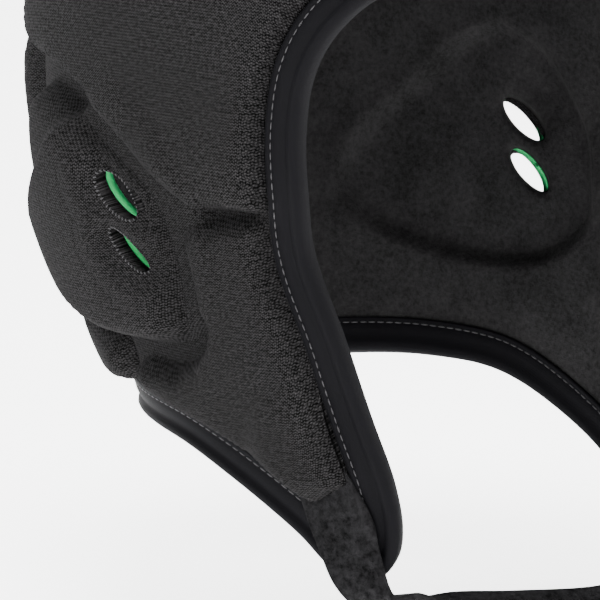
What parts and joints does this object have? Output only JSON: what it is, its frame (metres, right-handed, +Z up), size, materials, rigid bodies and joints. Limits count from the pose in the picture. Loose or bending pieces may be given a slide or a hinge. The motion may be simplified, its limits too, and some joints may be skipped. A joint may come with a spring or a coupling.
{
  "type": "rugby scrum cap",
  "caption": "Soft padded rugby scrum cap with domed ear pads, slotted ear vents, a bound face edge and a chin strap, held open as a head holds it.",
  "frame": {"origin": "where the top of the head meets the inside of the crown", "axes": "+Z up, the face opening looks along -Y, +X is the wearer's left"},
  "size_m": [0.1826, 0.2094, 0.2578],
  "materials": {
    "pad_cloth": "matt stretch knit over foam",
    "ear_cloth": "matt stretch knit over foam",
    "lining_cloth": "short velvety pile",
    "binding_cloth": "smooth folded neoprene binding",
    "strap_cloth": "brushed loop pile",
    "ear_foam": "matt closed-cell foam"
  },
  "bodies": {
    "root": {"shell": "lining_cloth", "edge_binding": "binding_cloth", "temple_pad_right": "pad_cloth", "temple_pad_left": "pad_cloth", "cheek_pad_right": "pad_cloth", "cheek_pad_left": "pad_cloth", "lower_back_pad_right": "pad_cloth", "lower_back_pad_left": "pad_cloth", "upper_back_pad_right": "pad_cloth", "upper_back_pad_left": "pad_cloth", "crown_side_pad_right": "pad_cloth", "crown_side_pad_left": "pad_cloth", "forehead_pad": "pad_cloth", "crown_pad": "pad_cloth", "back_pad": "pad_cloth", "nape_pad": "pad_cloth", "ear_cover_right": "ear_cloth", "ear_cover_left": "ear_cloth", "ear_foam_right": "ear_foam", "ear_foam_left": "ear_foam", "chin_strap": "strap_cloth"}
  },
  "joints": []
}
